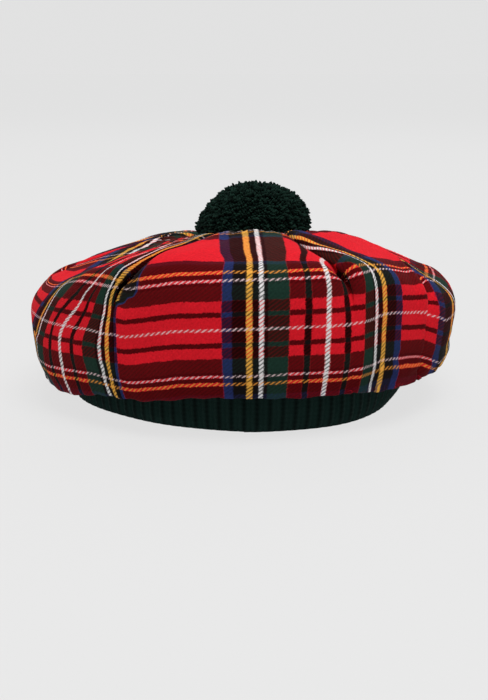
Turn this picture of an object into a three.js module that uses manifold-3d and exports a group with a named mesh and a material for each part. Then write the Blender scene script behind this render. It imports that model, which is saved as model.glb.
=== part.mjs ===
// A tartan tam o' shanter that rests on its headband: a soft gathered cloth crown, a ribbed
// knitted headband and a yarn pompom. Millimetres, +Z up, the wearer's front towards -Y, and
// the origin on the floor at the middle of the headband's foot.
import * as THREE from "three";
import { mergeVertices } from "three/addons/utils/BufferGeometryUtils.js";
import Module from "manifold-3d";

const wasm = await Module();
wasm.setup();

// Headband
const BAND_RADIUS = 87.5;
const BAND_HEIGHT = 34;
const BAND_WALL = 4;
const BAND_BULGE = 1.6;
const BAND_EDGE = 1.4;
const BAND_SWAY = 3.2;
const BAND_SWAY_AT = 20;
const RIB_PITCH = 6.2;
const RIB_DEPTH = 1.1;

// Crown
const CROWN_RADIUS = 115;
const CROWN_TOP = 88;
const CROWN_HEM = 17;
const CLOTH = 2;
const HEM_LIFT = 6;
const BACK_DROP = 9;
const DOME = 2.6;
const PLEAT_DEPTH = 8;
const PLEAT_REACH = 13;
const PLEAT_STEEP = 5;
const PLEAT_CURVE = 1.4;
const PLEAT_SWING_FROM = 0.42;
const LIP = 1.4;
const GATHER = 1.3;
const GATHER_SHIFT = 4.7;

// Pompom
const POMPOM_RADIUS = 31.5;
const POMPOM_HEIGHT = 33;
const LOCK_COUNT = 80;
const LOCK_LENGTH = 7;
const LOCK_RADIUS = 3.6;
const LOCK_PROUD = 2.6;

// Gap where two pieces touch
const SEAT = 0.3;

const TURN = 2 * Math.PI;
const SEAM_HEIGHT = BAND_HEIGHT + SEAT;
const SEAM_INSET = BAND_WALL / 2 - CLOTH / 2;

// How full the crown stands in front: wholly so within the first angle from the front, and not
// at all past the second, in degrees.
const FULL_TO = 22;
const SLACK_FROM = 78;

// The crown's cloth from the headband's seam out to the hem fold. out: share of the overhang
// past the seam; drop: share of the way down from the seam to the hem; puff, pleat and gather:
// how much of each fold the section has.
const UNDER_SECTIONS = [
  { out: 0.0, drop: 0.0, pleat: 0, gather: 0.5 },
  { out: 0.12, drop: -0.16, pleat: 0, gather: 1 },
  { out: 0.36, drop: 0.02, pleat: 0, gather: 1 },
  { out: 0.58, drop: 0.66, pleat: 0.04, gather: 0.7 },
  { out: 0.78, drop: 1.0, pleat: 0.1, gather: 0.3 },
];

// The crown's cloth from the hem fold to the gathered middle. reach: share of the crown's
// radius; rise: share of the way up from the hem to the top, where the cloth is slack, and
// full_reach and full_rise where it stands full; dome and pleat: how much of each fold it has.
const OVER_SECTIONS = [
  { reach: 0.965, rise: 0.05, full_reach: 0.965, full_rise: 0.06, dome: 0.2, pleat: 0.1 },
  { reach: 0.994, rise: 0.17, full_reach: 0.99, full_rise: 0.24, dome: 0.5, pleat: 0.14 },
  { reach: 1.0, rise: 0.36, full_reach: 1.0, full_rise: 0.5, dome: 0.8, pleat: 0.2 },
  { reach: 0.996, rise: 0.505, full_reach: 0.998, full_rise: 0.7, dome: 1, pleat: 0.38 },
  { reach: 0.966, rise: 0.595, full_reach: 0.99, full_rise: 0.86, dome: 1, pleat: 0.7 },
  { reach: 0.91, rise: 0.665, full_reach: 0.95, full_rise: 0.955, dome: 1, pleat: 0.95 },
  { reach: 0.827, rise: 0.717, full_reach: 0.868, full_rise: 1.0, dome: 1, pleat: 1 },
  { reach: 0.73, rise: 0.79, full_reach: 0.75, full_rise: 1.03, dome: 1, pleat: 0.85 },
  { reach: 0.62, rise: 0.86, full_reach: 0.625, full_rise: 1.06, dome: 1, pleat: 0.6 },
  { reach: 0.5, rise: 0.915, full_reach: 0.505, full_rise: 1.09, dome: 0.7, pleat: 0.4 },
  { reach: 0.4, rise: 0.955, full_reach: 0.41, full_rise: 1.09, dome: 0.3, pleat: 0.28 },
  { reach: 0.315, rise: 0.965, full_reach: 0.33, full_rise: 1.03, dome: 0, pleat: 0.15 },
  { reach: 0.23, rise: 0.935, full_reach: 0.24, full_rise: 0.94, dome: 0, pleat: 0.08 },
  { reach: 0.1, rise: 0.92, full_reach: 0.1, full_rise: 0.92, dome: 0, pleat: 0 },
];

// The height of the gathered middle that the pompom sits on.
const GATHER_HEIGHT = THREE.MathUtils.lerp(CROWN_HEM, CROWN_TOP, OVER_SECTIONS.at(-1).rise);

// The panels between the pleats, from the front round by the right. at: where its first pleat
// meets the rim, in degrees from the front; turn: how far that pleat has swung when it nears
// the middle; over: which side of the pleat lies on top, -1 the panel before it and 1 the panel
// after it; wall: share of the pleat's depth down the side, where some of them run out; dome and
// hem: shares of DOME and HEM_LIFT that the panel stands up.
const PANELS = [
  { at: -32, turn: 11, over: -1, wall: 0.35, dome: 0.8, hem: 1.0 },
  { at: 30, turn: -16, over: 1, wall: 0.25, dome: 0.3, hem: 0.6 },
  { at: 56, turn: 22, over: -1, wall: 2.0, dome: 0.4, hem: 0.1 },
  { at: 99, turn: 6, over: -1, wall: 1.0, dome: 0.8, hem: 0 },
  { at: 139, turn: -3, over: 1, wall: 0.8, dome: 1.0, hem: 0 },
  { at: 180, turn: 3, over: 1, wall: 1.2, dome: 0.9, hem: 0 },
  { at: 222, turn: -3, over: -1, wall: 0.8, dome: 1.0, hem: -0.4 },
  { at: 262, turn: 4, over: -1, wall: 1.0, dome: 0.6, hem: -0.8 },
];

// Where the columns of a panel stand, as shares of its width, closer beside the pleats.
const COLUMNS = [0, 0.035, 0.09, 0.17, 0.3, 0.46, 0.62, 0.78, 0.89, 0.96];

// A number that eases from 0 to 1 as x goes from low to high.
function ease(low, high, x) {
  const t = Math.min(1, Math.max(0, (x - low) / (high - low)));
  return t * t * (3 - 2 * t);
}

// A radius that follows the headband's slight three-cornered bend.
function swayed(radius, angle) {
  return radius + BAND_SWAY * Math.cos(3 * (angle - THREE.MathUtils.degToRad(BAND_SWAY_AT)));
}

// The two triangles of a quad, split along its shorter diagonal.
function quadFaces(points, a, b, c, d) {
  const split = points[a].distanceTo(points[c]) <= points[b].distanceTo(points[d]);
  return split ? [a, b, c, a, c, d] : [a, b, d, b, c, d];
}

// A closed body from rings of points: joined into tubes, with a fan to a middle point at each
// open end, or with the last ring joined to the first.
function bodyFromRings(rings, middles) {
  const count = rings[0].length;
  const points = rings.flat();
  const faces = [];
  const strips = middles ? rings.length - 1 : rings.length;
  for (let row = 0; row < strips; row++) {
    const low = row * count;
    const high = ((row + 1) % rings.length) * count;
    for (let i = 0; i < count; i++) {
      const j = (i + 1) % count;
      faces.push(...quadFaces(points, low + i, low + j, high + j, high + i));
    }
  }
  if (middles) {
    const last = (rings.length - 1) * count;
    const start = points.push(middles[0]) - 1;
    const end = points.push(middles[1]) - 1;
    for (let i = 0; i < count; i++) {
      const j = (i + 1) % count;
      faces.push(start, j, i, end, last + i, last + j);
    }
  }
  const geometry = new THREE.BufferGeometry().setFromPoints(points);
  geometry.setIndex(faces);
  geometry.computeVertexNormals();
  return geometry;
}

function makeHeadband() {
  const ribs = Math.round((TURN * BAND_RADIUS) / RIB_PITCH);
  // out: past the band's radius; rib: share of the rib's depth
  const profile = [
    { out: -BAND_EDGE, z: 0, rib: 0.3 },
    { out: 0, z: BAND_EDGE, rib: 1 },
    { out: BAND_BULGE, z: BAND_HEIGHT / 2, rib: 1 },
    { out: -BAND_EDGE / 2, z: BAND_HEIGHT, rib: 1 },
    { out: -BAND_WALL, z: BAND_HEIGHT, rib: 0 },
    { out: -BAND_WALL, z: 0, rib: 0 },
  ];
  const rings = profile.map(({ out, z, rib }) =>
    Array.from({ length: 2 * ribs }, (_, i) => {
      const angle = (TURN * i) / (2 * ribs);
      const wave = i % 2 ? -rib * RIB_DEPTH : 0;
      const radius = swayed(BAND_RADIUS + out + wave, angle);
      return new THREE.Vector3(radius * Math.sin(angle), -radius * Math.cos(angle), z);
    }),
  );
  return bodyFromRings(rings);
}

// The crown's bare meridian at an angle from the front: the outer surface before any folds.
function crownSections(angle, hemShare) {
  const fromFront = THREE.MathUtils.radToDeg(Math.acos(Math.cos(angle)));
  const full = 1 - ease(FULL_TO, SLACK_FROM, fromFront);
  const behind = Math.max(0, -Math.cos(angle));
  const hem = CROWN_HEM + HEM_LIFT * hemShare;
  const seam = swayed(BAND_RADIUS - SEAM_INSET, angle);
  const under = UNDER_SECTIONS.map((s) => ({
    ...s,
    dome: 0,
    radius: seam + s.out * (CROWN_RADIUS - seam),
    z: SEAM_HEIGHT - s.drop * (SEAM_HEIGHT - hem),
  }));
  const over = OVER_SECTIONS.map((s) => {
    const lift = CROWN_HEM + HEM_LIFT * hemShare * ease(0.2, 0.7, s.reach);
    const rise = s.rise + full * (s.full_rise - s.rise);
    const drop = BACK_DROP * behind * s.rise * ease(0.1, 0.8, s.reach);
    return {
      ...s,
      gather: 0,
      radius: CROWN_RADIUS * (s.reach + full * (s.full_reach - s.reach)),
      z: lift + rise * (CROWN_TOP - lift) - drop,
    };
  });
  return [...under, ...over];
}

// The way out of the cloth at each section, square to the meridian: [along radius, along z].
function meridianNormals(sections) {
  return sections.map((_, i) => {
    const a = sections[Math.max(0, i - 1)];
    const b = sections[Math.min(sections.length - 1, i + 1)];
    const run = new THREE.Vector2(b.radius - a.radius, b.z - a.z).normalize();
    return new THREE.Vector2(run.y, -run.x);
  });
}

// The angle of a pleat's line at a radius: it swings by its turn between the rim and the middle.
function pleatAngle(panel, radius) {
  const swing = 1 - ease(PLEAT_SWING_FROM * CROWN_RADIUS, CROWN_RADIUS, radius);
  return THREE.MathUtils.degToRad(panel.at + panel.turn * swing);
}

// How deep the cloth lies in a pleat, at a distance from its line, on its steep or easy side. A
// low lip of cloth stands up beside the steep side.
function pleatDepth(distance, steep) {
  const reach = steep ? PLEAT_STEEP : PLEAT_REACH;
  const slope = Math.max(0, 1 - distance / reach);
  const lip = steep ? LIP * Math.exp(-(((distance - 1.6 * reach) / reach) ** 2)) : 0;
  return PLEAT_DEPTH * slope ** PLEAT_CURVE - lip;
}

function makeCrown() {
  const outer = [];
  const inner = [];
  const rows = UNDER_SECTIONS.length + OVER_SECTIONS.length;
  for (let row = 0; row < rows; row++) {
    outer.push([]);
    inner.push([]);
  }
  PANELS.forEach((panel, k) => {
    const next = PANELS[(k + 1) % PANELS.length];
    const wrap = k === PANELS.length - 1 ? TURN : 0;
    const last = PANELS[(k + PANELS.length - 1) % PANELS.length];
    COLUMNS.forEach((share, column) => {
      const rim = THREE.MathUtils.degToRad(
        panel.at + share * (next.at + (wrap ? 360 : 0) - panel.at),
      );
      const fromLast = 0.5 * (1 - ease(0, 0.5, share));
      const toNext = 0.5 * ease(0.5, 1, share);
      const hem =
        panel.hem * (1 - fromLast - toNext) + last.hem * fromLast + next.hem * toNext;
      const sections = crownSections(rim, hem);
      const normals = meridianNormals(sections);
      const bow = 1 - Math.abs(2 * share - 1) ** 3;
      sections.forEach((section, row) => {
        const start = pleatAngle(panel, section.radius);
        const end = pleatAngle(next, section.radius) + wrap;
        const angle = start + share * (end - start);
        const width = (end - start) * section.radius;
        const tight = section.radius / CROWN_RADIUS;
        const low = 1 - ease(0.5, 0.8, (section.z - CROWN_HEM) / (CROWN_TOP - CROWN_HEM));
        const before = pleatDepth((share * width) / tight ** 0.5, panel.over === 1);
        const after = pleatDepth(((1 - share) * width) / tight ** 0.5, next.over === -1);
        const depth = Math.max(
          before * (1 + low * (panel.wall - 1)),
          after * (1 + low * (next.wall - 1)),
        );
        const ripple = column % 2 ? 1 : -1;
        const proud =
          DOME * panel.dome * section.dome * bow -
          section.pleat * depth +
          GATHER * section.gather * 0.5 * ripple;
        const shift = GATHER_SHIFT * (1 - tight);
        const normal = normals[row];
        const place = (offset) => {
          const radius = section.radius + normal.x * offset;
          return new THREE.Vector3(
            shift + radius * Math.sin(angle),
            -radius * Math.cos(angle),
            Math.max(section.z + normal.y * offset, row === 0 ? SEAM_HEIGHT : 0),
          );
        };
        outer[row].push(place(proud));
        inner[row].push(place(proud - CLOTH));
      });
    });
  });
  const top = new THREE.Vector3(GATHER_SHIFT, 0, GATHER_HEIGHT);
  const below = top.clone().setZ(GATHER_HEIGHT - CLOTH);
  return bodyFromRings([...inner.reverse(), ...outer], [below, top]);
}

// A solid for joining, from a geometry of closed faces.
function solidOf(geometry) {
  const bare = geometry.clone();
  bare.deleteAttribute("normal");
  bare.deleteAttribute("uv");
  const merged = mergeVertices(bare, 1e-4);
  return new wasm.Manifold(
    new wasm.Mesh({
      numProp: 3,
      vertProperties: new Float32Array(merged.attributes.position.array),
      triVerts: new Uint32Array(merged.index.array),
    }),
  );
}

function geometryOf(solid) {
  const mesh = solid.getMesh();
  const geometry = new THREE.BufferGeometry();
  geometry.setAttribute("position", new THREE.BufferAttribute(mesh.vertProperties, 3));
  geometry.setIndex(new THREE.BufferAttribute(mesh.triVerts, 1));
  geometry.computeVertexNormals();
  return geometry;
}

// The pompom is a squat ball of yarn ends: a head, with locks fused all over what shows of it.
function makePompom() {
  const radius = POMPOM_RADIUS - LOCK_PROUD;
  const up = (POMPOM_HEIGHT - LOCK_PROUD) * 0.72;
  const down = (POMPOM_HEIGHT - LOCK_PROUD) * 0.28;
  const outline = [];
  const steps = 8;
  for (let i = 0; i <= steps; i++) {
    const polar = Math.PI * (i / steps - 0.5);
    const height = Math.sin(polar) * (polar < 0 ? down : up);
    outline.push(new THREE.Vector2(Math.max(0, radius * Math.cos(polar)), down + height));
  }
  outline[0].x = 0;
  outline[steps].x = 0;
  const head = new THREE.LatheGeometry(outline, 14).rotateX(Math.PI / 2);
  let ball = solidOf(head);
  const golden = Math.PI * (3 - Math.sqrt(5));
  const lowest = -0.12;
  for (let i = 0; i < LOCK_COUNT; i++) {
    const sine = lowest + (1 - lowest) * ((i + 0.5) / LOCK_COUNT);
    const cosine = Math.sqrt(1 - sine * sine);
    const turn = i * golden;
    const foot = new THREE.Vector3(
      radius * cosine * Math.cos(turn),
      radius * cosine * Math.sin(turn),
      down + sine * (sine < 0 ? down : up),
    );
    const out = new THREE.Vector3(foot.x / radius, foot.y / radius, (foot.z - down) / up);
    out.normalize();
    const lock = new THREE.CylinderGeometry(LOCK_RADIUS * 0.62, LOCK_RADIUS, LOCK_LENGTH, 5);
    lock.rotateY(i);
    lock.applyQuaternion(
      new THREE.Quaternion().setFromUnitVectors(new THREE.Vector3(0, 1, 0), out),
    );
    const centre = foot.addScaledVector(out, LOCK_PROUD - LOCK_LENGTH / 2);
    lock.translate(centre.x, centre.y, centre.z);
    ball = ball.add(solidOf(lock));
  }
  return geometryOf(ball);
}

// A named piece with its own finish.
function piece(name, geometry, finish) {
  const mesh = new THREE.Mesh(geometry, new THREE.MeshStandardMaterial(finish));
  mesh.name = name;
  return mesh;
}

const hat = new THREE.Group();
hat.add(
  piece("headband", makeHeadband(), { color: 0x0c2a22, roughness: 0.95, metalness: 0 }),
  piece("crown", makeCrown(), { color: 0xb01822, roughness: 0.9, metalness: 0 }),
);

const pompom = piece("pompom", makePompom(), { color: 0x0b1f19, roughness: 1, metalness: 0 });
pompom.position.set(GATHER_SHIFT, 0, GATHER_HEIGHT + SEAT);
hat.add(pompom);

export default hat;
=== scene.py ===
"""A tartan tam o' shanter: a gathered cloth crown, a ribbed knitted headband and a yarn pompom."""

import math
from typing import NamedTuple

import bmesh
import bpy
import numpy as np
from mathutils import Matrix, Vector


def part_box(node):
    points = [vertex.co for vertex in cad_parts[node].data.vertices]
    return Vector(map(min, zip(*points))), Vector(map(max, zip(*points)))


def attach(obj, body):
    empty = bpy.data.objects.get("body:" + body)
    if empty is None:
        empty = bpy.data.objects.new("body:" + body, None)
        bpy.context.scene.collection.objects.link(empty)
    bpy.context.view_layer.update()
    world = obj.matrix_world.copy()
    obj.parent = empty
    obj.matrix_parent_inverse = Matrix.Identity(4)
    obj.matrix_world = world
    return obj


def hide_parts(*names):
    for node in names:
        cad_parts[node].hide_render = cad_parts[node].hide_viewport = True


bl_info = {
    "name": "Tam o' Shanter",
    "version": (1, 0, 0),
    "blender": (4, 5, 0),
    "location": "3D View > Sidebar > Tam",
    "description": "Makes a tartan tam o' shanter with a ribbed headband and a pompom",
    "category": "Object",
}

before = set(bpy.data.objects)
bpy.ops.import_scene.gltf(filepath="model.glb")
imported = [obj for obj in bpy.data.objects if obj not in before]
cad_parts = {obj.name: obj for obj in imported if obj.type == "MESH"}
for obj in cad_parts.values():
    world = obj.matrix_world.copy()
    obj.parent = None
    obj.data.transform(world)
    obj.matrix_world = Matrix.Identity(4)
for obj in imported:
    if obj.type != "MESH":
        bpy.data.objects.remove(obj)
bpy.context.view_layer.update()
BAND_LOW, BAND_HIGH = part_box("headband")
POMPOM_LOW, POMPOM_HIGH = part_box("pompom")

MM = 0.001

# The crown's cloth from the headband's seam out to the hem fold. Columns: shares of the overhang
# past the seam, of the way down to the hem, of a pleat's depth and of the gathers.
UNDER_SECTIONS = (
    (0.0, 0.0, 0.0, 0.5),
    (0.12, -0.16, 0.0, 1.0),
    (0.36, 0.02, 0.0, 1.0),
    (0.58, 0.66, 0.04, 0.8),
    (0.78, 1.0, 0.1, 0.45),
)

# The crown's cloth from the hem fold to the gathered middle. Columns: shares of its radius and of
# the way up to its top where it is slack, the same two where it stands full, and shares of a
# panel's dome, a pleat's depth and the gathers.
OVER_SECTIONS = (
    (0.965, 0.05, 0.965, 0.06, 0.2, 0.1, 0.25),
    (0.994, 0.17, 0.99, 0.24, 0.5, 0.14, 0.1),
    (1.0, 0.36, 1.0, 0.5, 0.8, 0.2, 0.0),
    (0.996, 0.505, 0.998, 0.7, 1.0, 0.38, 0.0),
    (0.966, 0.595, 0.99, 0.86, 1.0, 0.7, 0.0),
    (0.91, 0.665, 0.95, 0.955, 1.0, 0.95, 0.0),
    (0.827, 0.717, 0.868, 1.0, 1.0, 0.85, 0.0),
    (0.73, 0.79, 0.75, 1.03, 1.0, 0.6, 0.0),
    (0.62, 0.86, 0.625, 1.06, 1.0, 0.42, 0.1),
    (0.5, 0.915, 0.505, 1.09, 0.7, 0.36, 0.3),
    (0.4, 0.955, 0.41, 1.09, 0.3, 0.32, 0.6),
    (0.315, 0.965, 0.33, 1.03, 0.0, 0.3, 0.9),
    (0.23, 0.935, 0.24, 0.94, 0.0, 0.2, 1.0),
    (0.1, 0.92, 0.1, 0.92, 0.0, 0.1, 0.6),
    (0.0, 0.915, 0.0, 0.915, 0.0, 0.0, 0.0),
)

class Panel(NamedTuple):
    """A panel of the crown with the pleat that it starts at, in degrees and mm."""

    at: float  # rim angle of the pleat, from the front round by the right
    swing: float  # how far the pleat turns by the middle
    over: int  # what lies on top at the pleat: -1 the panel before, 1 this one
    low: float  # share of the pleat's depth down the side
    pocket: float  # share of the shoulder pocket
    dome: float  # share of the swelling
    hem: float  # share of the hem's lift
    heading: float  # direction of the threads on top
    taken: float = 0  # cloth that the pleat takes up at the rim
    turned_in: float | None = None  # cloth that shows where the panel goes under the one before
    middle: float | None = None  # cloth on the heading's line, if not as on the side
    lean: tuple | None = None  # heights where the threads turn from the side's way to the top's
    early: float = 0  # how much lower they turn on the far side
    gathered: float = 0  # cloth drawn together along the edge of the next pleat


PANELS = (
    Panel(-33.5, 11, -1, 0.35, 1.0, 0.8, 1.0, 2, turned_in=-116.5),
    Panel(27.5, -5, 1, 0.3, 0.8, 0.1, 0.6, 47),
    Panel(53.5, 24, -1, 2.6, 0.2, 0.4, 0.4, 84, taken=19),
    Panel(99, 6, -1, 1.0, 0.3, 0.8, 0.1, 119),
    Panel(139, -3, 1, 0.8, 0.5, 1.0, 0.0, 159, taken=13),
    Panel(180, 3, 1, 1.2, 0.3, 0.9, 0.0, 201, taken=13),
    Panel(222, -3, -1, 0.8, 0.4, 1.0, -0.4, 241, taken=13),
    Panel(262, 4, -1, 1.0, 0.3, 0.6, -0.8, 327, taken=13,
          middle=-151.5, lean=(42, 84), early=14, gathered=31),
)

# Where the cloth lies on the side: angle from the front, and mm of cloth from the tartan's
# white pivot stripe right of the middle.
SIDE_CLOTH = (
    (-98, -236), (-71.6, -192.7), (-53.6, -154.9), (-43.9, -135.8), (-37.5, -122.9),
    (-33.6, -113), (-33.4, -107), (-32.5, -104.1), (-5.1, -50.8), (4, -32), (20.2, 0),
    (30.3, 19.1), (33.6, 32), (41.3, 48.4), (53.5, 75), (60.8, 87.5), (71.6, 98), (99, 148),
    (262, 476),
)

# The height in mm of the tartan's level white pivot stripe on the side, by angle.
PIVOT_HEIGHTS = (
    (-98, 50), (-59.3, 49.7), (-40.9, 52), (-30, 50.8), (-23.4, 53.4), (-16.4, 56.2),
    (-10.3, 57.2), (0, 58.4), (13.2, 58.7), (26, 57.9), (30, 58.3), (36, 60.9), (39.7, 60.5),
    (51.3, 57.6), (64.5, 48.5), (99, 50), (262, 50),
)

# Creases pressed into the side. Columns: angle, height in mm, half width in degrees, half
# height in mm, depth in mm, tilt in mm of height per degree.
CREASES = (
    (48, 35, 9, 3.0, 2.2, -0.25),
    (54, 27, 6, 2.5, 1.6, 0.5),
    (-24, 45, 9, 9.0, 1.2, 0.3),
    (-46, 30, 8, 4.0, 1.0, 0.2),
    (75, 33, 10, 4.0, 1.4, 0.2),
    (88, 38, 24, 14, 2.4, 0.0),
    (150, 40, 12, 5.0, 1.4, -0.2),
    (205, 36, 10, 4.0, 1.3, 0.2),
)

# Half of the tartan's set, from the white pivot to the middle of the red, and each stripe's end.
HALF_SET = 77.5
STRIPES = (
    ("white", 1.15), ("red", 8.5), ("black", 11.9), ("red", 19.1), ("green", 29.0),
    ("black", 30.9), ("white", 33.1), ("black", 36.3), ("yellow", 39.2), ("black", 46.0),
    ("blue", 50.8), ("red", HALF_SET),
)
# The same stripes run closer together along the cloth, and their pale lines are thinner.
WEFT_SHARE = 0.73
WEFT_THINNED = 0.25
PALE = ("white", "yellow")
WARP_THREAD = 0.7 * MM
WEFT_THREAD = 0.515 * MM

EDGE_WANDER = 0.7 * MM
DARK_SHEEN = (0.5, 0.9, 0.8, 1)
RED_SHEEN = (1.0, 0.55, 0.55, 1)

# The crown's relief. RADII are shares of its radius. Waves: depth, shortest, longest, seed.
LIFT_RADII = (0.2, 0.7)  # where the hem's lift sets in
DROP_RADII = (0.1, 0.8)  # where the back's drop sets in
SWING_RADIUS = 0.42  # a pleat has swung fully inside this
LOW_HEIGHTS = (0.62, 0.86)  # shares of the height where a pleat changes to its low depth
SHOULDER_AT, SHOULDER_WIDTH = 0.93, 0.07  # the ring of the shoulder pockets
FOLD_POWER = 1.4  # how sharply a fold falls in
LIP_AT, LIP_WIDTH = 5 * MM, 4 * MM  # the raised cloth beside a fold
LAP_AT = 1.2 * MM  # where the cloth laps over most
POCKET_WIDTH = 17 * MM
CREASE_RADIUS = 0.85  # no crease presses inside this
GATHERS = 52
CLOTH_WAVES = (0.55 * MM, 0.03, 0.07, 3)
WAVE_RADII = (0.1, 0.5)  # where these waves set in
FINE_WAVES = (0.16 * MM, 0.009, 0.02, 4)

# How the threads lie. Below LEVEL_HEIGHT they run as on the side. Past SIDE_RADII inwards, or
# past LEAN_RADII on a panel that leans, they run straight along the panel's heading.
LEVEL_HEIGHT = 40 * MM
SIDE_RADII = (0.8, 0.98)
LEAN_RADII = (0.8, 0.9)
EARLY_ANGLES = (-54, -70)
# On top the stripes are counted from the rim's edge, and lie a little further apart.
TOP_HEIGHT = 60 * MM
RIM_EDGE = 0.92
TOP_STRETCH = 1.04
# The strip drawn together at a pleat: where it narrows, and its width and power below and above.
DRAWN_HEIGHTS = (66 * MM, 82 * MM)
DRAWN_WIDTHS = (24 * MM, 15 * MM)
DRAWN_POWERS = (1.1, 1.6)
DRAWN_BELOW = 6 * MM  # more cloth that is drawn in below
# The cloth that shows inside a shoulder pocket.
POCKET_RADII = (0.86, 0.93)
POCKET_HEIGHTS = (63 * MM, 74 * MM)
POCKET_EDGE = 3 * MM
POCKET_RUN = 0.4
# The hem folds along one stripe, where the level stands still for a while.
HEM_STRIPE = -36.8 * MM
HEM_TURN = 7.2 * MM

# Rows of the headband's grid: up its outside, over its top or under its foot, down its inside.
BAND_ROWS = (40, 4, 4)
PER_RIB = 10
LOOP_DEPTH = 0.3 * MM  # between stitches
SPLAY_SPREAD, FLARE_SPREAD = 0.7, 0.6  # in radians
BAND_WAVES = (0.5 * MM, 0.03, 0.08, 8)

# The width of a cut end of yarn at shares of its length, and how far its tip stands out.
YARN_WIDTHS = {0.0: 0.75, 0.45: 0.9, 0.8: 1.15, 1.0: 0.95}
TIP_RISE = 0.08
# Shares of the pompom's height: where it is widest, and where the yarn ends spread from.
WAIST = 0.27
HEART = 0.3
CORE, CORE_BELOW = 0.84, 0.99  # size of the core above and below the waist
LOWEST_END = -0.92  # sine of latitude
YARN_CLUMPS = (0.02, 0.004, 0.009, 21)
YARN_BEND = 1.1 * MM

# The lamps: place, size and power. They point at AIM.
LAMPS = {
    "key": ((0.3, -0.8, 2.1), 1.2, 40),
    "fill": ((-1.6, -0.9, 0.9), 1.2, 3.5),
    "back": ((0.2, 1.5, 1.4), 1.4, 8),
}
AIM = (0, 0, 0.05)
SKY, SKY_STRENGTH = (0.82, 0.82, 0.81, 1), 0.42
FLOOR_SIZE, WALL_SIZE, WALL_PLACE = 12, 30, (0, 6, 0)
SENSOR = 36


def ease(low, high, x):
    """A number that eases from 0 to 1 as x goes from low to high."""
    t = np.clip((x - low) / (high - low), 0.0, 1.0)
    return t * t * (3 - 2 * t)


def bell(x, middle, width):
    """A number that is 1 in the middle and falls smoothly to 0 on both sides."""
    return np.exp(-(((x - middle) / width) ** 2))


def between(ends, share):
    """A value at a share of the way from the first of two ends to the second."""
    return ends[0] + share * (ends[1] - ends[0])


def turned_from(angle, middle, whole):
    """An angle as seen from another one, within half a turn either way."""
    return (angle - middle + whole / 2) % whole - whole / 2


def from_table(table, angle):
    """The length at an angle, from a table of degrees and mm."""
    return np.interp(angle, *np.array(table).T) * MM


def smooth_rows(control, steps):
    """More rows between the rows of a table, on a smooth curve through them."""
    k = control.shape[-1]
    t = np.linspace(0, k - 1, (k - 1) * steps + 1)
    i = np.clip(t.astype(int), 0, k - 2)
    f = t - i
    before, start, end, after = (control[..., np.clip(i + n, 0, k - 1)] for n in (-1, 0, 1, 2))
    return (
        (2 * f**3 - 3 * f**2 + 1) * start
        + (f**3 - 2 * f**2 + f) * (end - before) / 2
        + (3 * f**2 - 2 * f**3) * end
        + (f**3 - f**2) * (after - start) / 2
    )


def soft_waves(u, v, depth, shortest, longest, seed):
    """Shallow waves in all directions over a surface, about as deep as depth."""
    rng = np.random.default_rng(seed)
    total = 0
    count = 9
    for _ in range(count):
        length = rng.uniform(shortest, longest)
        turn = rng.uniform(0, math.tau)
        across = np.cos(turn) * u + np.sin(turn) * v
        total = total + np.sin(math.tau * across / length + rng.uniform(0, math.tau))
    return depth * total / math.sqrt(count)


def swayed(radius, angle, settings):
    """A radius that follows the headband's three-cornered bend."""
    return radius + settings.sway * np.cos(3 * (angle - settings.sway_at))


class Shader:
    """A short way to write a material's nodes."""

    def __init__(self, name):
        self.material = bpy.data.materials.new(name)
        self.material.use_nodes = True
        self.tree = self.material.node_tree
        self.tree.nodes.clear()

    def node(self, kind, inputs=None, **values):
        made = self.tree.nodes.new(kind)
        for key, value in values.items():
            setattr(made, key, value)
        for key, value in (inputs or {}).items():
            self.feed(made.inputs[key], value)
        return made

    def feed(self, socket, value):
        if isinstance(value, bpy.types.NodeSocket):
            self.tree.links.new(value, socket)
        else:
            socket.default_value = value

    def math(self, operation, a, b=0.0, c=0.0):
        return self.node("ShaderNodeMath", {0: a, 1: b, 2: c}, operation=operation).outputs[0]

    def mix(self, share, a, b, blend="MIX"):
        inputs = {"Factor": share, "A": a, "B": b}
        made = self.node("ShaderNodeMix", inputs, data_type="RGBA", blend_type=blend)
        return made.outputs["Result"]

    def noise(self, place, scale, detail=2.0, rough=0.5):
        inputs = {"Vector": place, "Scale": scale, "Detail": detail, "Roughness": rough}
        return self.node("ShaderNodeTexNoise", inputs).outputs["Fac"]

    def uv(self, layer):
        made = self.node("ShaderNodeUVMap", uv_map=layer)
        split = self.node("ShaderNodeSeparateXYZ", {0: made.outputs["UV"]})
        return split.outputs["X"], split.outputs["Y"]

    def object_place(self):
        return self.node("ShaderNodeTexCoord").outputs["Object"]

    def bump(self, height, distance, strength):
        inputs = {"Height": height, "Distance": distance, "Strength": strength}
        return self.node("ShaderNodeBump", inputs).outputs["Normal"]

    def span(self, value, low, high, to_low=0.0, to_high=1.0):
        """A value carried from one range to another, and held at its ends."""
        inputs = {"Value": value, "From Min": low, "From Max": high,
                  "To Min": to_low, "To Max": to_high}
        return self.node("ShaderNodeMapRange", inputs).outputs["Result"]

    def lighten(self, colour, value):
        """A colour that is made lighter or darker."""
        made = self.node("ShaderNodeHueSaturation", {"Color": colour, "Value": value})
        return made.outputs["Color"]

    def surface(self, inputs):
        """Ends the material with a surface that has these inputs."""
        shader = self.node("ShaderNodeBsdfPrincipled", inputs)
        self.node("ShaderNodeOutputMaterial", {"Surface": shader.outputs["BSDF"]})
        return self.material

    def wool(self, colour, normal, sheen, tint):
        """Ends the material as matt wool, with a faint sheen of fibres."""
        return self.surface({
            "Base Color": colour, "Normal": normal, "Roughness": 0.95,
            "Specular IOR Level": 0.04, "Sheen Weight": sheen, "Sheen Roughness": 0.5,
            "Sheen Tint": tint,
        })


def colour_of(values):
    """A shader colour from a setting's colour."""
    return (*values, 1.0)


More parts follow.
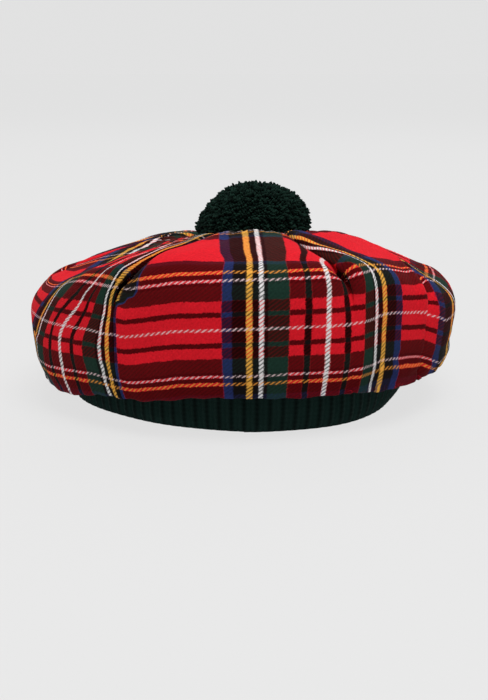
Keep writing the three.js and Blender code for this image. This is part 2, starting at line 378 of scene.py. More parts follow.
def make_tartan(settings):
    """Brushed wool in a 2/2 twill: warp and weft stripes from the cloth's own coordinates."""
    s = Shader("tartan_wool")
    across, along = s.uv("cloth")
    place = s.object_place()
    drift = s.math("SUBTRACT", s.noise(place, 260.0), 0.5)
    fray = s.math("SUBTRACT", s.noise(place, 1500.0, 1.0), 0.5)
    strayed = s.math("ADD", drift, s.math("MULTIPLY", fray, 2.0))
    wander = s.math("MULTIPLY", strayed, EDGE_WANDER)

    def stripes(distance, share, thinned):
        """The thread colour at a distance across the cloth."""
        half = HALF_SET * MM * share
        folded = s.math("PINGPONG", s.math("ADD", distance, wander), half)
        ramp = s.node("ShaderNodeValToRGB", {"Fac": s.math("DIVIDE", folded, half)})
        soft = settings.soft_edge / (HALF_SET * MM)
        marks = [(0.0, STRIPES[0][0])]
        for (name, end), (following, _) in zip(STRIPES, STRIPES[1:]):
            thinner = (following in PALE) - (name in PALE)
            edge = (end + thinned * thinner) / HALF_SET
            marks += [(edge - soft, name), (edge + soft, following)]
        stops = ramp.color_ramp.elements
        for i, (position, name) in enumerate(marks):
            stop = stops[i] if i < 2 else stops.new(position)
            stop.position = position
            stop.color = colour_of(getattr(settings, name))
        return ramp.outputs["Color"]

    warp = stripes(across, 1.0, 0.0)
    weft = stripes(along, WEFT_SHARE, WEFT_THINNED)
    weft = s.mix(1.0, weft, colour_of(settings.weft_tint), "MULTIPLY")

    # The twill: two threads over and two under, one thread further on in each row.
    warp_count = s.math("DIVIDE", s.math("ADD", across, wander), WARP_THREAD)
    weft_count = s.math("DIVIDE", s.math("ADD", along, wander), WEFT_THREAD)
    step = s.math("PINGPONG", s.math("SUBTRACT", warp_count, weft_count), 2.0)
    warp_on_top = s.span(step, 0.6, 1.0)

    # The nap blends the threads, dark ones more than pale ones.
    apart = s.mix(1.0, warp, weft, "DIFFERENCE")
    split = s.node("ShaderNodeSeparateColor", {"Color": apart})
    pale = s.math("MULTIPLY", split.outputs["Green"], 4.0)
    sharp = s.math("MULTIPLY", s.math("MINIMUM", pale, 1.0), settings.dark_blur - settings.blur)
    blend = s.math("SUBTRACT", settings.dark_blur, sharp)
    picked = s.mix(warp_on_top, weft, warp)
    picked = s.mix(blend, picked, s.mix(settings.warp_share, weft, warp))

    # Red that crosses black or green looks deeper.
    most = s.math("MAXIMUM", s.math("SUBTRACT", split.outputs["Red"], pale), 0.0)
    shade = s.math("SUBTRACT", 1.0, s.math("MULTIPLY", most, settings.crossing_shade))
    grey = s.node("ShaderNodeCombineColor", {"Red": shade, "Green": shade, "Blue": shade})
    shaded = s.mix(1.0, picked, grey.outputs["Color"], "MULTIPLY")

    nap = s.noise(place, 900.0, 3.0, 0.7)
    napped = s.lighten(shaded, s.span(nap, 0.3, 0.7, 0.82, 1.12))
    diagonal = s.math("DIVIDE", s.math("SUBTRACT", across, along), WARP_THREAD)
    ridge = s.math("PINGPONG", diagonal, 2.0)
    relief = s.math("ADD", s.math("MULTIPLY", ridge, 0.2), nap)
    return s.wool(napped, s.bump(relief, 0.35 * MM, 0.6), 0.015, RED_SHEEN)


def make_knit(settings):
    """Matt dark wool knit: fine fuzz, and painted shade that darkens the colour in narrow lines
    along the ribs.
    """
    s = Shader("ribbed_wool")
    across, along = s.uv("knit")
    place = s.object_place()
    fuzz = s.noise(place, 1400.0, 3.0, 0.7)
    blotch = s.noise(place, 90.0)
    # Painted shade: the colour is darkened in a narrow line along each rib; fuzz and blotch add
    # random tone.
    rib = s.span(s.math("PINGPONG", across, 0.5), 0.05, 0.3, 0.35, 1.0)
    loops = s.math("PINGPONG", s.math("MULTIPLY", along, 2.0), 1.0)
    painted_shade_and_tone = s.math("MULTIPLY", rib, s.math("ADD", 0.75, fuzz))
    painted_shade_and_tone = s.math("MULTIPLY", painted_shade_and_tone, s.math("ADD", 0.7, s.math("MULTIPLY", blotch, 0.6)))
    colour = s.lighten(colour_of(settings.wool), painted_shade_and_tone)
    relief = s.math("ADD", fuzz, s.math("MULTIPLY", loops, 0.4))
    return s.wool(colour, s.bump(relief, 0.3 * MM, 0.8), 0.02, DARK_SHEEN)


def make_yarn(settings):
    """Cut yarn: each end has its own tone, and painted shade darkens it towards its root."""
    s = Shader("pompom_yarn")
    shade, reach = s.uv("yarn")
    place = s.object_place()
    fuzz = s.noise(place, 1600.0, 3.0, 0.7)
    # Painted shade: the yarn is darker towards its root, deep inside the ball.
    root = s.math("POWER", reach, 1.6)
    level = s.math("MULTIPLY", s.math("ADD", 0.25, s.math("MULTIPLY", shade, 1.3)), root)
    level = s.math("MULTIPLY", level, s.math("ADD", 0.6, s.math("MULTIPLY", fuzz, 0.8)))
    colour = s.lighten(colour_of(settings.yarn), level)
    return s.wool(colour, s.bump(fuzz, 0.3 * MM, 0.8), 0.02, DARK_SHEEN)


def make_plain(name, colour, glow):
    """A plain matt surface for the studio, lit a little from within so that shadows stay pale."""
    return Shader(name).surface({
        "Base Color": colour, "Roughness": 1.0, "Specular IOR Level": 0.0,
        "Emission Color": (1, 1, 1, 1), "Emission Strength": glow,
    })


def add_grid(name, columns, rows):
    """A new grid, with the column and row of each of its vertices."""
    bpy.ops.object.select_all(action="DESELECT")
    bpy.ops.mesh.primitive_grid_add(x_subdivisions=columns, y_subdivisions=rows, size=2)
    grid = bpy.context.object
    grid.name = grid.data.name = name
    place = np.array([v.co for v in grid.data.vertices])
    column = np.rint((place[:, 0] + 1) / 2 * columns).astype(int)
    row = np.rint((place[:, 1] + 1) / 2 * rows).astype(int)
    return grid, column, row


def corner_vertices(mesh):
    """The vertex at each face corner."""
    corner = np.zeros(len(mesh.loops), int)
    mesh.loops.foreach_get("vertex_index", corner)
    return corner


def loop_places(mesh, column, row):
    """For each face corner of a grid: its own column and row, and its face's first column."""
    corner = corner_vertices(mesh)
    first = column[corner].reshape(-1, 4).min(axis=1)
    return column[corner], row[corner], np.repeat(first, 4)


def set_layer(mesh, name, pairs):
    """Writes a UV layer from one pair per face corner, and keeps only that layer."""
    while mesh.uv_layers:
        mesh.uv_layers.remove(mesh.uv_layers[0])
    layer = mesh.uv_layers.new(name=name)
    layer.data.foreach_set("uv", pairs.astype(np.float32).ravel())


def close_seams():
    """Merges the vertices that meet on the new piece, which is still selected."""
    bpy.ops.object.mode_set(mode="EDIT")
    bpy.ops.mesh.select_all(action="SELECT")
    bpy.ops.mesh.remove_doubles(threshold=0.01 * MM)
    bpy.ops.object.mode_set(mode="OBJECT")


def crown_profile(angles, hem_share, settings):
    """The crown's bare meridians: radius and height of each section, a row for each angle."""
    from_front = np.degrees(np.arccos(np.cos(angles)))[:, None]
    full = 1 - ease(settings.full_to, settings.slack_from, from_front)
    behind = np.clip(-np.cos(angles), 0, None)[:, None]
    lift = (settings.hem_lift * hem_share)[:, None]
    seam = swayed(settings.seam_radius, angles, settings)[:, None]
    under = np.array(UNDER_SECTIONS).T[:, None, :]
    over = np.array(OVER_SECTIONS).T[:, None, :]
    hem = settings.hem_height + lift
    under_radius = seam + under[0] * (settings.radius - seam)
    under_height = settings.seam_height - under[1] * (settings.seam_height - hem)
    reach = over[0] + full * (over[2] - over[0])
    rise = over[1] + full * (over[3] - over[1])
    low = settings.hem_height + lift * ease(*LIFT_RADII, over[0])
    drop = settings.back_drop * behind * over[1] * ease(*DROP_RADII, over[0])
    over_height = low + rise * (settings.top_height - low) - drop
    radius = np.hstack([under_radius, settings.radius * reach])
    return radius, np.hstack([under_height, over_height])


def section_shares():
    """Shares of the dome, the pleats and the gathers at each section."""
    under = np.pad(np.array(UNDER_SECTIONS).T[2:], ((1, 0), (0, 0)))
    return np.hstack([under, np.array(OVER_SECTIONS).T[4:]])


def pleat_angle(panel, radius, settings):
    """The angle of a pleat's line at a radius: it swings between the rim and the middle."""
    swing = 1 - ease(SWING_RADIUS * settings.radius, settings.radius, radius)
    return np.radians(panel.at + panel.swing * swing)


def fold_relief(k, before, after, pleat, low, shoulder, settings):
    """How far a panel's two pleats push its cloth out, aside and into the fold."""
    panel = PANELS[k]
    following = PANELS[(k + 1) % len(PANELS)]
    proud, aside, tucked = np.zeros((3, *before.shape))
    for distance, fold, lies_over, way in (
        (before, panel, panel.over == 1, 1),
        (after, following, following.over == -1, -1),
    ):
        share = pleat * np.clip(1 + low * (fold.low - 1), 0, 3)
        if lies_over:
            steep = np.clip(1 - distance / settings.pleat_steep, 0, 1) ** FOLD_POWER
            lip = bell(distance, LIP_AT, LIP_WIDTH)
            proud += share * (settings.lip * lip - settings.pleat_depth * steep)
            tucked -= way * share * settings.pleat_depth * steep
            x = distance / LAP_AT
            aside -= way * settings.overlap * np.minimum(share, 1) ** 1.5 * x * np.exp(1 - x)
        else:
            easy = np.clip(1 - distance / settings.pleat_reach, 0, 1) ** FOLD_POWER
            pocket = np.clip(1 - distance / POCKET_WIDTH, 0, 1) ** 1.2
            proud -= share * settings.pleat_depth * easy
            proud -= settings.pocket_depth * fold.pocket * shoulder * pocket
    return proud, aside, tucked


def crease_relief(rim, radius, height, settings):
    """How far the creases press the side in."""
    on_side = radius > CREASE_RADIUS * settings.radius
    total = 0
    for at, high, half_width, half_height, depth, tilt in CREASES:
        off = turned_from(np.degrees(rim)[:, None], at, 360)
        level = height / MM - high - tilt * off
        press = bell(off, 0, half_width) * bell(level, 0, half_height)
        total = total + depth * MM * press * on_side
    return total


def panel_surface(k, shares, steps, settings):
    """One panel of the crown: its points, and the cloth's coordinates at them."""
    panel = PANELS[k]
    last = PANELS[k - 1]
    following = PANELS[(k + 1) % len(PANELS)]
    wrap = math.tau if k == len(PANELS) - 1 else 0.0
    turn = np.radians(following.at - panel.at) + wrap
    rim = np.radians(panel.at) + shares * turn
    from_last = 0.5 * (1 - ease(0, 0.5, shares))
    to_next = 0.5 * ease(0.5, 1, shares)
    own = panel.hem * (1 - from_last - to_next)
    hem = own + last.hem * from_last + following.hem * to_next
    radius, height = crown_profile(rim, hem, settings)
    radius = smooth_rows(radius, steps)
    height = smooth_rows(height, steps)
    dome, pleat, gather = (np.clip(smooth_rows(c, steps), 0, 1)[None] for c in section_shares())

    run_r = np.gradient(radius, axis=1)
    run_z = np.gradient(height, axis=1)
    length = np.hypot(run_r, run_z) + 1e-12
    out_r, out_z = run_z / length, -run_r / length

    start = pleat_angle(panel, radius, settings)
    end = pleat_angle(following, radius, settings) + wrap
    angle = start + shares[:, None] * (end - start)
    width = (end - start) * radius
    tight = np.clip(radius / settings.radius, 0.02, None)
    before = shares[:, None] * width / tight**0.5
    after = (1 - shares[:, None]) * width / tight**0.5
    up = (height - settings.hem_height) / (settings.top_height - settings.hem_height)
    low = 1 - ease(*LOW_HEIGHTS, up)
    shoulder = bell(radius / settings.radius, SHOULDER_AT, SHOULDER_WIDTH) * (1 - low)
    proud, aside, tucked = fold_relief(k, before, after, pleat, low, shoulder, settings)

    bow = 1 - np.abs(2 * shares[:, None] - 1) ** 3
    swell = settings.dome * panel.dome * dome * bow
    around = rim[:, None] * settings.radius
    along = np.cumsum(length, axis=1)
    proud += swell + soft_waves(around, along, *CLOTH_WAVES) * ease(*WAVE_RADII, tight)
    proud += soft_waves(around, along, *FINE_WAVES)
    folds = np.sin(GATHERS * rim[:, None] + 1.7 * np.sin(9 * rim[:, None]))
    proud += settings.gather * gather * folds * np.clip(tight * 1.6, 0, 1)
    proud -= crease_relief(rim, radius, height, settings)

    far = radius + out_r * proud
    turned = angle + aside / np.clip(radius, 5 * MM, None)
    shift = settings.gather_shift * (1 - radius / settings.radius)
    points = np.stack([shift + far * np.sin(turned), -far * np.cos(turned),
                       height + out_z * proud], axis=-1)

    wide = radius + out_r * swell
    tall = height + out_z * swell
    aim = np.stack([shift + wide * np.sin(turned), wide * np.cos(turned)])
    edges = (before * tight**0.5 + aside, after * tight**0.5 - aside)
    across, level = cloth_places(k, rim, wide, tall, aim, edges, settings)
    return points, across + tucked, level


def drawn_cloth(panel, height, edge):
    """How far the cloth of a panel is drawn in towards the edge of the next pleat."""
    loose = ease(*DRAWN_HEIGHTS, height)
    near = np.clip(1 - edge / between(DRAWN_WIDTHS, loose), 0, 1)
    most = panel.gathered * MM + DRAWN_BELOW * (1 - loose)
    return most * near ** between(DRAWN_POWERS, loose)


def cloth_level(degrees, radius, height, lowest):
    """How far along the cloth each point of the side lies, up from the pivot stripe."""
    pivot = from_table(PIVOT_HEIGHTS, degrees)
    steps = np.hypot(np.diff(radius, axis=1), np.diff(height, axis=1))
    along = np.concatenate([np.zeros((len(degrees), 1)), np.cumsum(steps, axis=1)], axis=1)
    level = np.zeros_like(height)
    for c, low in enumerate(lowest):
        above = low + np.argmax(height[c, low:] >= pivot[c])
        below = above - 1
        share = (pivot[c] - height[c, below]) / (height[c, above] - height[c, below])
        level[c] = along[c] - along[c, below] - share * (along[c, above] - along[c, below])
    return level


def cloth_places(k, rim, radius, height, aim, edges, settings):
    """The cloth's own coordinates: across the stripes, and along them up from the pivot."""
    panel = PANELS[k]
    degrees = np.degrees(rim)
    heading = panel.heading
    taken = sum(p.taken for p in PANELS[: k + 1]) * MM
    if k == len(PANELS) - 1:
        degrees = np.where(degrees > panel.at, degrees - 360, degrees)
        heading -= 360
        taken = 0.0
    side = (from_table(SIDE_CLOTH, degrees) + taken)[:, None]
    middle = panel.middle * MM if panel.middle else from_table(SIDE_CLOTH, heading) + taken
    sine, cosine = math.sin(math.radians(heading)), math.cos(math.radians(heading))
    top = middle + aim[0] * cosine - aim[1] * sine
    if panel.gathered:
        top = top + drawn_cloth(panel, height, edges[1])

    share = radius / settings.radius
    lowest = np.argmin(height, axis=1)
    under = (np.arange(height.shape[1]) <= lowest[:, None]) | (height < LEVEL_HEIGHT)
    on_side = np.where(under, 1, ease(*SIDE_RADII, share))
    upright = on_side
    if panel.lean:
        early = panel.early * ease(*EARLY_ANGLES, degrees)[:, None]
        lean = 1 - ease(*panel.lean, height / MM + early)
        upright = np.where(under, 1, lean * ease(*LEAN_RADII, share))
    across = top + (side - top) * upright
    if panel.turned_in:
        pocket = ease(*POCKET_RADII, share) * ease(*POCKET_HEIGHTS, height)
        inner = POCKET_RUN * edges[0] + panel.turned_in * MM
        hidden = 1 - ease(0, POCKET_EDGE, edges[0] + POCKET_EDGE - POCKET_WIDTH * pocket)
        across = across + (inner - across) * hidden

    level = cloth_level(degrees, radius, height, lowest)
    rim_edge = RIM_EDGE * settings.radius
    column = int(np.argmin(np.abs(degrees - heading)))
    top_rows = np.arange(np.argmax(height[column] >= TOP_HEIGHT), height.shape[1])
    edge_row = top_rows[np.argmax(radius[column, top_rows] <= rim_edge)]
    forward = aim[1] * cosine + aim[0] * sine
    top_level = level[column, edge_row] + TOP_STRETCH * (rim_edge - forward)
    level = top_level + (level - top_level) * on_side
    level = np.where(level < HEM_STRIPE, np.minimum(HEM_STRIPE, level + HEM_TURN), level)
    return across, level


def make_crown(settings):
    """The crown's cloth as one closed shell."""
    steps = 5
    per_panel = 60
    rows = (len(UNDER_SECTIONS) + len(OVER_SECTIONS) - 1) * steps
    even = np.linspace(0, 1, per_panel + 1)
    # Columns stand closer together at the pleats.
    shares = even - 0.8 * np.sin(math.tau * even) / math.tau
    grid, column, row = add_grid("crown", per_panel * len(PANELS), rows)
    mesh = grid.data
    panels = [panel_surface(k, shares, steps, settings) for k in range(len(PANELS))]
    which = np.minimum(column // per_panel, len(PANELS) - 1)
    points = np.stack([p[0] for p in panels])[which, column - which * per_panel, row]
    mesh.vertices.foreach_set("co", points.ravel())
    corner_column, corner_row, face_column = loop_places(mesh, column, row)
    panel = face_column // per_panel
    cloth = np.stack([np.stack(p[1:], axis=-1) for p in panels])
    set_layer(mesh, "cloth", cloth[panel, corner_column - panel * per_panel, corner_row])
    close_seams()
    wall = grid.modifiers.new("wall", "SOLIDIFY")
    wall.thickness = settings.cloth
    wall.offset = -1
    bpy.ops.object.modifier_apply(modifier="wall")
    bpy.ops.object.shade_smooth()
    return grid


def band_path(settings):
    """Once round the headband's section: how far out, how high, and share of the ribs."""
    outer, turn, inner = BAND_ROWS
    wall, tall = settings.wall, settings.height
    edge = wall / 2
    bends = [math.pi * (i + 1) / (turn + 1) for i in range(turn)]
    path = []
    for share in np.linspace(0, 1, outer):
        bulge = settings.bulge * math.sin(math.pi * share) - 0.5 * edge * (2 * share - 1) ** 8
        path.append((bulge, 0.35 * edge + share * (tall - 0.7 * edge), 1.0))
    for bend in bends:
        path.append((-edge + 0.5 * edge * math.cos(bend), tall, 0.4))
    for share in np.linspace(0, 1, inner):
        path.append((-wall, tall - 0.3 * edge - share * (tall - 0.6 * edge), 0.4))
    for bend in bends:
        path.append((-edge - 0.5 * edge * math.cos(bend), 0.0, 0.3))
    path.append(path[0])
    return np.array(path)


def make_headband(settings):
    """The headband's ribbed tube, closed into a ring of knit."""
    path = band_path(settings)
    columns = PER_RIB * round(math.tau * settings.radius / settings.rib_pitch)
    band, column, row = add_grid("headband", columns, len(path) - 1)
    angle = math.tau * column / columns
    out, level, rib = path[row].T
    place = column / PER_RIB
    in_rib = np.abs(place - np.rint(place)) * 2
    ridge = np.cos(in_rib * math.pi / 2) ** 0.7 - 1
    slant = level / settings.stitch_height - 0.55 * in_rib
    loop = np.abs(np.sin(math.pi * slant)) ** 0.8
    relief = settings.rib_depth * ridge + LOOP_DEPTH * (loop - 1) * (1 - 0.5 * in_rib)
    slack = soft_waves(angle * settings.radius, level, *BAND_WAVES)
    foot = 1 - np.clip(level / settings.height, 0, 1)
    off = turned_from(angle, settings.splay_at, math.tau)
    splay = settings.splay * foot * bell(off, 0, SPLAY_SPREAD)
    off = turned_from(angle, settings.flare_at, math.tau)
    flare = settings.flare * np.sin(math.pi * foot) * bell(off, 0, FLARE_SPREAD)
    radius = swayed(settings.radius, angle, settings) + out + rib * relief + slack + splay + flare
    points = np.stack([radius * np.sin(angle), -radius * np.cos(angle), level], axis=-1)
    band.data.vertices.foreach_set("co", points.ravel())
    corner_column, corner_row, _ = loop_places(band.data, column, row)
    stitches = path[corner_row, 1] / settings.stitch_height
    set_layer(band.data, "knit", np.stack([corner_column / PER_RIB, stitches], axis=-1))
    close_seams()
    bpy.ops.object.shade_smooth()
    return band


def yarn_end():
    """One cut end of yarn, 1 long and 1 thick, with a frayed tip: its points and its faces."""
    bpy.ops.object.select_all(action="DESELECT")
    bpy.ops.mesh.primitive_cylinder_add(
        vertices=5, radius=0.5, depth=1, end_fill_type="TRIFAN", location=(0, 0, 0.5)
    )
    end = bpy.context.object
    bpy.ops.object.transform_apply(location=True, rotation=True, scale=True)
    body = bmesh.new()
    body.from_mesh(end.data)
    for cut in list(YARN_WIDTHS)[1:-1]:
        bmesh.ops.bisect_plane(
            body, geom=body.verts[:] + body.edges[:] + body.faces[:],
            plane_co=(0, 0, cut), plane_no=(0, 0, 1),
        )
    for vertex in body.verts:
        if math.hypot(vertex.co.x, vertex.co.y) < 0.1:
            vertex.co.z += TIP_RISE if vertex.co.z > 0.5 else 0.0
            continue
        nearest = min(YARN_WIDTHS, key=lambda z: abs(z - vertex.co.z))
        vertex.co.x *= YARN_WIDTHS[nearest]
        vertex.co.y *= YARN_WIDTHS[nearest]
    body.to_mesh(end.data)
    body.free()
    points = np.array([v.co for v in end.data.vertices])
    faces = [tuple(p.vertices) for p in end.data.polygons]
    bpy.data.objects.remove(end)
    return points, faces


def pompom_outline(sine, settings):
    """Radius and height of the ball's surface at a sine of latitude."""
    low = settings.tall * WAIST
    high = settings.tall - low
    cosine = np.sqrt(np.clip(1 - sine**2, 0, 1))
    return settings.radius * cosine**0.86, low + sine * np.where(sine < 0, low, high)


def unit(vectors):
    """The vectors made 1 long."""
    return vectors / np.linalg.norm(vectors, axis=1, keepdims=True)


def yarn_ends(settings):
    """All yarn ends: their points and faces, each point's own tone, and the share of its length
    that sets its painted shade.
    """
    count = settings.ends
    rng = np.random.default_rng(11)
    points, faces = yarn_end()
    sine = LOWEST_END + (1 - LOWEST_END) * (np.arange(count) + 0.5) / count
    cosine = np.sqrt(1 - sine**2)
    turn = np.arange(count) * math.pi * (3 - math.sqrt(5))
    flat, level = pompom_outline(sine, settings)
    clump = soft_waves(turn * settings.radius, sine * settings.radius, *YARN_CLUMPS)
    reach = 1 + 0.035 * rng.standard_normal(count).clip(-1.6, 1.2) + clump
    facing = np.stack([cosine * np.cos(turn), cosine * np.sin(turn), sine], axis=-1)
    near = ((facing - np.array(settings.flat_side)) ** 2).sum(axis=1)
    reach = reach * (1 - settings.flattening * np.exp(-near / 0.3))
    waist = settings.tall * WAIST
    tip = np.stack([flat * np.cos(turn) * reach, flat * np.sin(turn) * reach,
                    waist + (level - waist) * reach], axis=-1)
    tip[:, 2] = np.maximum(tip[:, 2], 0.2 * MM)

    out = unit(tip - np.array([0, 0, settings.tall * HEART]))
    out = unit(out + 0.2 * rng.standard_normal((count, 3)))
    side = unit(np.cross(out, rng.standard_normal((count, 3))))
    over = np.cross(out, side)
    long = settings.end_length * rng.uniform(0.85, 1.1, count)[:, None, None]
    thick = settings.end_width * rng.uniform(0.8, 1.25, count)[:, None, None]
    bend = YARN_BEND * rng.standard_normal(count)[:, None, None]
    shade = rng.uniform(0, 1, count)
    root = tip - out * long[:, 0]
    x, y, z = (points[None, :, i:i + 1] for i in range(3))
    placed = (
        root[:, None]
        + out[:, None] * z * long
        + side[:, None] * (x * thick + (z**2 - z) * bend)
        + over[:, None] * y * thick
    )
    size = len(points)
    all_faces = [tuple(i * size + v for v in face) for i in range(count) for face in faces]
    shades = np.repeat(shade, size)
    return placed.reshape(-1, 3), all_faces, shades, np.tile(points[:, 2].clip(0, 1), count)


def make_pompom(settings):
    """A ball of yarn ends round a core that painted shade keeps dark."""
    ends, faces, shades, shade_length_shares = yarn_ends(settings)
    bpy.ops.object.select_all(action="DESELECT")
    bpy.ops.mesh.primitive_uv_sphere_add(segments=32, ring_count=16, radius=1)
    pompom = bpy.context.object
    mesh = pompom.data
    pompom.name = mesh.name = "pompom"
    ball = np.array([v.co for v in mesh.vertices])
    flat, level = pompom_outline(ball[:, 2], settings)
    turned = np.arctan2(ball[:, 1], ball[:, 0])
    waist = settings.tall * WAIST
    reach = np.where(ball[:, 2] < 0, CORE_BELOW, CORE)
    core = np.stack([CORE * flat * np.cos(turned), CORE * flat * np.sin(turned),
                     waist + reach * (level - waist)], axis=-1)
    faces += [tuple(len(ends) + v for v in face.vertices) for face in mesh.polygons]
    place = np.array([*settings.centre, settings.foot])
    mesh.clear_geometry()
    mesh.from_pydata((np.concatenate([ends, core]) + place).tolist(), [], faces)
    mesh.update()
    shades = np.concatenate([shades, np.zeros(len(core))])
    # The core takes the painted shade of a yarn end's deep part.
    shade_length_shares = np.concatenate([shade_length_shares, np.full(len(core), 0.3)])
    corner = corner_vertices(mesh)
    set_layer(mesh, "yarn", np.stack([shades[corner], shade_length_shares[corner]], axis=-1))
    bpy.ops.object.shade_smooth()
    return pompom


def length_setting(name, description, default):
    """A length that a user may change."""
    return bpy.props.FloatProperty(
        name=name, description=description, default=default, unit="LENGTH", precision=4
    )


def angle_setting(name, description, degrees):
    """An angle that a user may change."""
    return bpy.props.FloatProperty(
        name=name, description=description, default=math.radians(degrees), subtype="ANGLE"
    )


def number_setting(name, description, default):
    """A plain number or share that a user may change."""
    return bpy.props.FloatProperty(name=name, description=description, default=default)


def colour_setting(name, description, default):
    """A colour that a user may change, as light and not as screen values."""
    return bpy.props.FloatVectorProperty(
        name=name, description=description, default=default, subtype="COLOR", min=0, max=1
    )


class CrownSettings(bpy.types.PropertyGroup):
    """Sizes and thread colours of the crown."""

    radius: length_setting("Radius", "From the middle to the widest of the rim", 115 * MM)
    top_height: length_setting("Top height", "Height that the slack cloth reaches", 88 * MM)
    hem_height: length_setting("Hem height", "Height of the hem's fold", 17 * MM)
    hem_lift: length_setting("Hem lift", "How far the hem rises in front", 6 * MM)
    cloth: length_setting("Cloth", "Thickness of the cloth", 1.4 * MM)
    seam_radius: length_setting("Seam radius", "Where the cloth meets the headband", 86.5 * MM)
    seam_height: length_setting("Seam height", "Height of the headband's seam",
                                BAND_HIGH.z + 0.3 * MM)
    sway: length_setting("Sway", "Depth of the three-cornered bend", 3.2 * MM)
    sway_at: angle_setting("Sway angle", "Where the bend is fullest", 20)
    full_to: number_setting("Full to", "Degrees from the front that stand full", 22)
    slack_from: number_setting("Slack from", "Degrees from the front where it is slack", 78)
    back_drop: length_setting("Back drop", "How much lower the back lies", 9 * MM)
    dome: length_setting("Dome", "How far a panel swells between pleats", 2.6 * MM)
    pleat_depth: length_setting("Pleat depth", "Depth of a pleat", 7 * MM)
    pleat_reach: length_setting("Pleat reach", "Width of a pleat's easy side", 13 * MM)
    pleat_steep: length_setting("Pleat edge", "Width of a pleat's steep side", 3.5 * MM)
    overlap: length_setting("Overlap", "How far a panel's edge lies over the next", 3 * MM)
    pocket_depth: length_setting("Pocket depth", "Depth of the pockets at the shoulder", 7 * MM)
    lip: length_setting("Lip", "Height of the cloth beside a pleat", 1.4 * MM)
    gather: length_setting("Gather", "Depth of the small gathers", 0.8 * MM)
    gather_shift: length_setting("Gather shift", "How far the middle is off centre", 4.7 * MM)
    weft_tint: colour_setting("Weft tint", "Colour that the nap lends the weft", (1, 0.75, 0.77))
    soft_edge: length_setting("Soft edge", "Half the width of a stripe's soft edge", 0.2 * MM)
    blur: number_setting("Blur", "How far the nap blends pale threads with others", 0.3)
    dark_blur: number_setting("Dark blur", "How far the nap blends two dark threads", 0.8)
    warp_share: number_setting("Warp share", "Share of the warp where they are blended", 0.82)
    crossing_shade: number_setting("Crossing shade", "How much darker unlike threads look", 1.38)
    red: colour_setting("Red", "Red thread", (0.64, 0.011, 0.021))
    green: colour_setting("Green", "Green thread", (0.01, 0.033, 0.023))
    blue: colour_setting("Blue", "Blue thread", (0.016, 0.028, 0.115))
    black: colour_setting("Black", "Black thread", (0.006, 0.005, 0.005))
    white: colour_setting("White", "White thread", (0.78, 0.76, 0.76))
    yellow: colour_setting("Yellow", "Yellow thread", (0.78, 0.39, 0.06))


class BandSettings(bpy.types.PropertyGroup):
    """Sizes and colour of the headband."""

    radius: length_setting("Radius", "Outside of the band", 87.5 * MM)
    height: length_setting("Height", "Height of the band", BAND_HIGH.z - BAND_LOW.z)
    wall: length_setting("Wall", "Thickness of the doubled knit", 4 * MM)
    bulge: length_setting("Bulge", "How far the band swells", 1.6 * MM)
    sway: length_setting("Sway", "Depth of the three-cornered bend", 3.2 * MM)
    sway_at: angle_setting("Sway angle", "Where the bend is fullest", 20)
    splay: length_setting("Splay", "How far the foot spreads on one side", 4.5 * MM)
    splay_at: angle_setting("Splay angle", "Where the foot spreads", -80)
    flare: length_setting("Flare", "How far the wall swells on the other side", 5 * MM)
    flare_at: angle_setting("Flare angle", "Where the wall swells", 75)
    rib_pitch: length_setting("Rib pitch", "From rib to rib", 6.2 * MM)
    rib_depth: length_setting("Rib depth", "Depth between the ribs", 1.3 * MM)
    stitch_height: length_setting("Stitch height", "From loop to loop", 2.6 * MM)
    wool: colour_setting("Wool", "Colour of the knit", (0.0055, 0.0155, 0.013))


class PompomSettings(bpy.types.PropertyGroup):
    """Sizes and colour of the pompom."""

    radius: length_setting("Radius", "From the middle to the yarn's ends",
                           (POMPOM_HIGH.x - POMPOM_LOW.x) / 2 - 1.2 * MM)
    tall: length_setting("Height", "From the foot to the top",
                         POMPOM_HIGH.z - POMPOM_LOW.z - 1.8 * MM)
    foot: length_setting("Foot", "Height that it sits at", POMPOM_LOW.z)
    centre: bpy.props.FloatVectorProperty(
        name="Centre", description="Middle of its foot", size=2, subtype="XYZ_LENGTH",
        unit="LENGTH", precision=4,
        default=((POMPOM_LOW.x + POMPOM_HIGH.x) / 2, (POMPOM_LOW.y + POMPOM_HIGH.y) / 2))
    ends: bpy.props.IntProperty(
        name="Ends", description="How many ends of yarn show", default=4600)
    end_length: length_setting("End length", "Length of a cut end", 8 * MM)
    end_width: length_setting("End width", "Thickness of the yarn", 1.35 * MM)
    flat_side: bpy.props.FloatVectorProperty(
        name="Flat side", description="Direction of the side that is trimmed flatter",
        subtype="DIRECTION", default=(-0.77, -0.1, 0.63))
    flattening: number_setting("Flattening", "How much shorter the yarn is there", 0.13)
    yarn: colour_setting("Yarn", "Colour of the yarn", (0.006, 0.018, 0.013))


class StudioSettings(bpy.types.PropertyGroup):
    """The camera, the lights and the floor."""

    distance: length_setting("Distance", "Camera's distance in front", 0.739)
    eye_height: length_setting("Eye height", "Camera's height", 0.193)
    dip: angle_setting("Dip", "How far the camera looks down", 13.07)
    focal: number_setting("Focal length", "Lens in millimetres", SENSOR * 1364 / 700)
    ground: colour_setting("Ground", "Colour of the floor", (0.08, 0.08, 0.08))
    glow: number_setting("Glow", "How much of the floor's brightness is its own", 0.71)


def dress(piece, name, material):
    """Gives a piece its name and its one material."""
    piece.name = name
    piece.data.materials.clear()
    piece.data.materials.append(material)


class TAM_OT_crown(bpy.types.Operator):
    """Makes the gathered tartan crown"""

    bl_idname = "tam.crown"
    bl_label = "Crown"

    def execute(self, context):
        settings = context.scene.tam_crown
        crown = make_crown(settings)
        dress(crown, "tartan_crown", make_tartan(settings))
        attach(crown, "root")
        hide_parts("crown")
        return {"FINISHED"}


class TAM_OT_headband(bpy.types.Operator):
    """Makes the ribbed knitted headband"""

    bl_idname = "tam.headband"
    bl_label = "Headband"

    def execute(self, context):
        settings = context.scene.tam_band
        band = make_headband(settings)
        dress(band, "knitted_headband", make_knit(settings))
        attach(band, "root")
        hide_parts("headband")
        return {"FINISHED"}


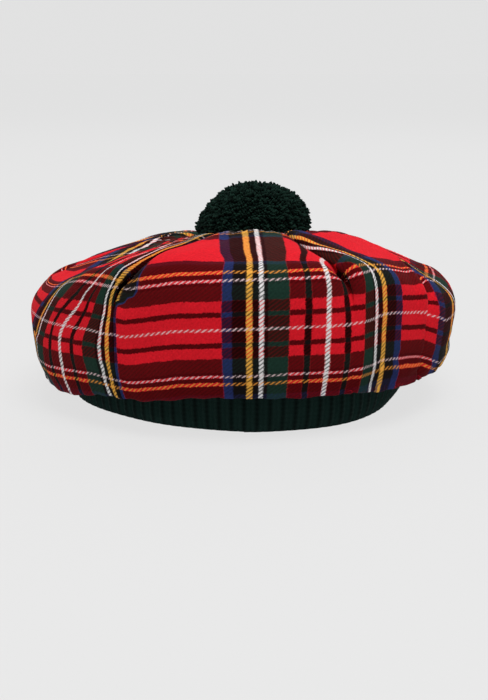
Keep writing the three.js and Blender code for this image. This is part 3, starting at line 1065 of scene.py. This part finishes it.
class TAM_OT_pompom(bpy.types.Operator):
    """Makes the yarn pompom"""

    bl_idname = "tam.pompom"
    bl_label = "Pompom"

    def execute(self, context):
        settings = context.scene.tam_pompom
        pompom = make_pompom(settings)
        dress(pompom, "yarn_pompom", make_yarn(settings))
        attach(pompom, "root")
        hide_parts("pompom")
        return {"FINISHED"}


class TAM_OT_studio(bpy.types.Operator):
    """Makes the floor, the lights and the camera"""

    bl_idname = "tam.studio"
    bl_label = "Studio"

    def execute(self, context):
        settings = context.scene.tam_studio
        pale = make_plain("pale_floor", colour_of(settings.ground), settings.glow)
        bpy.ops.object.select_all(action="DESELECT")
        bpy.ops.mesh.primitive_plane_add(size=FLOOR_SIZE)
        floor = context.object
        dress(floor, "floor", pale)
        upright = (math.pi / 2, 0, 0)
        bpy.ops.mesh.primitive_plane_add(size=WALL_SIZE, location=WALL_PLACE, rotation=upright)
        backdrop = context.object
        dress(backdrop, "backdrop", pale)
        for name, (place, size, power) in LAMPS.items():
            bpy.ops.object.light_add(type="AREA", location=place)
            lamp = context.object
            lamp.name = name
            lamp.data.energy = power
            lamp.data.size = size
            away = np.array(place) - AIM
            tilt = math.atan2(math.hypot(away[0], away[1]), away[2])
            lamp.rotation_euler = (tilt, 0, math.atan2(away[0], -away[1]))
        world = bpy.data.worlds.new("studio")
        world.use_nodes = True
        sky = world.node_tree.nodes["Background"].inputs
        sky["Color"].default_value = SKY
        sky["Strength"].default_value = SKY_STRENGTH
        context.scene.world = world
        context.scene.view_settings.view_transform = "Standard"
        place = (0, -settings.distance, settings.eye_height)
        bpy.ops.object.camera_add(location=place, rotation=(math.pi / 2 - settings.dip, 0, 0))
        camera = context.object
        camera.name = "camera"
        camera.data.sensor_width = SENSOR
        camera.data.lens = settings.focal
        context.scene.camera = camera
        return {"FINISHED"}


class TAM_PT_panel(bpy.types.Panel):
    """Lists the hat's pieces"""

    bl_idname = "TAM_PT_panel"
    bl_label = "Tam o' Shanter"
    bl_space_type = "VIEW_3D"
    bl_region_type = "UI"
    bl_category = "Tam"

    def draw(self, context):
        for name, (group, operator) in PIECES.items():
            box = self.layout.box()
            for setting in group.__annotations__:
                box.prop(getattr(context.scene, name), setting)
            box.operator(operator)


PIECES = {
    "tam_crown": (CrownSettings, "tam.crown"),
    "tam_band": (BandSettings, "tam.headband"),
    "tam_pompom": (PompomSettings, "tam.pompom"),
    "tam_studio": (StudioSettings, "tam.studio"),
}
CLASSES = (
    CrownSettings, BandSettings, PompomSettings, StudioSettings,
    TAM_OT_crown, TAM_OT_headband, TAM_OT_pompom, TAM_OT_studio, TAM_PT_panel,
)


def register():
    """Adds the classes and the scene's settings."""
    for made in CLASSES:
        bpy.utils.register_class(made)
    for name, (group, _) in PIECES.items():
        setattr(bpy.types.Scene, name, bpy.props.PointerProperty(type=group))


def unregister():
    """Takes them away again."""
    for name in PIECES:
        delattr(bpy.types.Scene, name)
    for made in reversed(CLASSES):
        bpy.utils.unregister_class(made)


def main():
    """Makes the whole hat and its studio."""
    register()
    bpy.ops.tam.studio()
    bpy.ops.tam.headband()
    bpy.ops.tam.crown()
    bpy.ops.tam.pompom()


if __name__ == "__main__":
    main()
